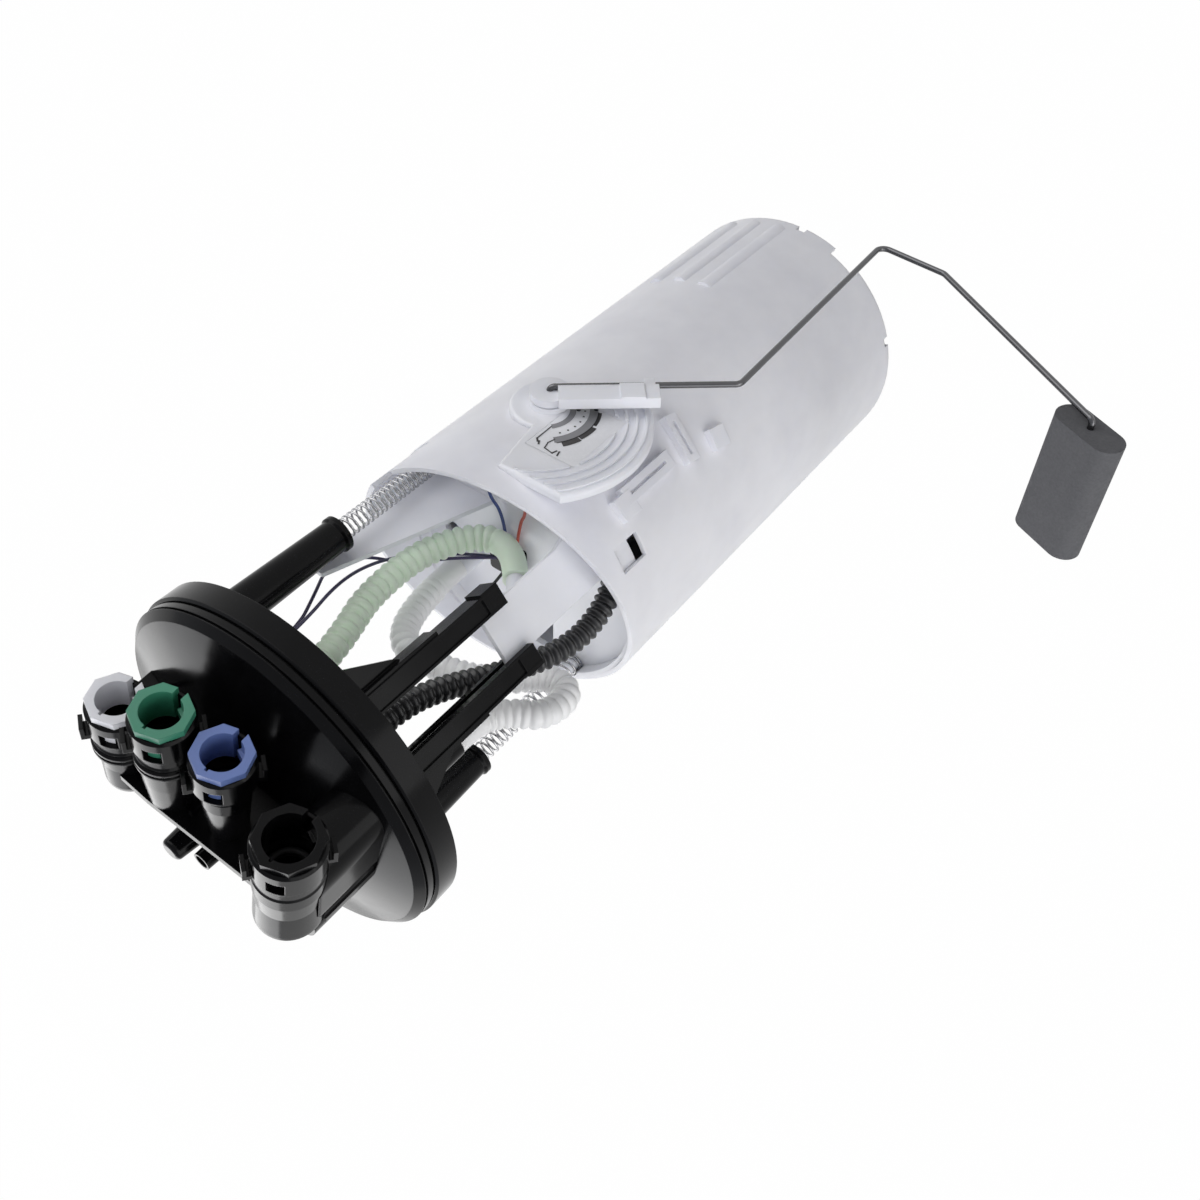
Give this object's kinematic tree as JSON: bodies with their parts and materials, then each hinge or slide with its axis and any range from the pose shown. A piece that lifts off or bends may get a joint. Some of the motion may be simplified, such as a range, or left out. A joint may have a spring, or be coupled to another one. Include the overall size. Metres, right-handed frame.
{
  "type": "fuel pump module",
  "caption": "In-tank fuel pump module: black flange with quick connectors, sprung white reservoir pot, corrugated hoses and a float-arm level sender.",
  "frame": {"origin": "centre of the flange skirt's seat on the tank", "axes": "+Z along the module's axis, out of the tank towards the connectors; -Y the side of the level sender's face"},
  "size_m": [0.2438, 0.1373, 0.3703],
  "materials": {
    "black_plastic": "moulded glossy black",
    "white_latch": "satin",
    "green_latch": "satin",
    "blue_latch": "satin",
    "seal_rubber": "matte",
    "brass": "bright",
    "spring_steel": "bright drawn wire",
    "green_hose": "translucent, corrugated",
    "cream_hose": "translucent, corrugated",
    "black_hose": "corrugated",
    "purple_lead": "insulated wire",
    "black_lead": "insulated wire",
    "blue_lead": "insulated wire",
    "red_lead": "insulated wire",
    "natural_plastic": "natural translucent moulding",
    "pump_steel": "zinc plated",
    "magnet": "sintered",
    "strainer_fabric": "fine mesh",
    "ceramic_card": "matte with printed tracks",
    "float_foam": "closed-cell foam, matte"
  },
  "bodies": {
    "flange": {"flange_cap": "black_plastic", "connector_wall": "black_plastic", "port_white": "black_plastic", "latch_white": "white_latch", "port_green": "black_plastic", "latch_green": "green_latch", "port_blue": "black_plastic", "latch_blue": "blue_latch", "port_black": "black_plastic", "latch_black": "black_plastic", "port_seals": "seal_rubber", "socket_shroud": "black_plastic", "socket_pins": "brass", "nipple_cap": "black_plastic", "guide_tube_upper": "black_plastic", "guide_tube_lower": "black_plastic", "spring_upper": "spring_steel", "spring_lower": "spring_steel", "guide_rail_left": "black_plastic", "guide_rail_right": "black_plastic", "hose_green": "green_hose", "hose_cream": "cream_hose", "hose_black": "black_hose", "lead_purple_a": "purple_lead", "lead_purple_b": "purple_lead", "lead_black": "black_lead"},
    "reservoir": {"pot": "natural_plastic", "pot_cover": "natural_plastic", "pump_can": "pump_steel", "pump_top_cap": "natural_plastic", "pump_inlet_cap": "natural_plastic", "pump_magnets": "magnet", "pump_bearings": "brass", "check_valve": "natural_plastic", "inlet_strainer": "strainer_fabric", "jet_pump": "natural_plastic", "foot_valve": "seal_rubber", "pressure_regulator": "pump_steel", "pump_plug": "black_plastic", "outlet_riser": "natural_plastic", "sender_plate": "natural_plastic", "resistor_card": "ceramic_card", "lead_blue": "blue_lead", "lead_red": "red_lead"},
    "rotor": {"armature": "pump_steel", "impeller": "natural_plastic"},
    "arm": {"arm_holder": "natural_plastic", "wiper_contact": "brass", "float_wire": "spring_steel", "float_lock": "spring_steel"},
    "float": {"float_body": "float_foam"}
  },
  "joints": [
    {"name": "reservoir_slide", "type": "slide", "parent": "flange", "child": "reservoir", "axis": [0, 0, 1], "range_m": [0, 0.022], "stiffness_N_per_m": 300, "springref_m": -0.03, "deforming": ["spring_upper", "spring_lower", "hose_green", "hose_cream", "hose_black", "lead_purple_a", "lead_purple_b", "lead_black"]},
    {"name": "float_arm_pivot", "type": "hinge", "parent": "reservoir", "child": "arm", "pos_m": [0.0043, -0.067, -0.1397], "axis": [0, 1, 0], "range_deg": [0, 75]},
    {"name": "float_swivel", "type": "hinge", "parent": "arm", "child": "float", "pos_m": [-0.1615, -0.037, -0.246], "axis": [0, 1, 0], "continuous": true},
    {"name": "pump_rotor", "type": "hinge", "parent": "reservoir", "child": "rotor", "pos_m": [0, 0.005, -0.2], "axis": [0, 0, 1], "continuous": true}
  ]
}
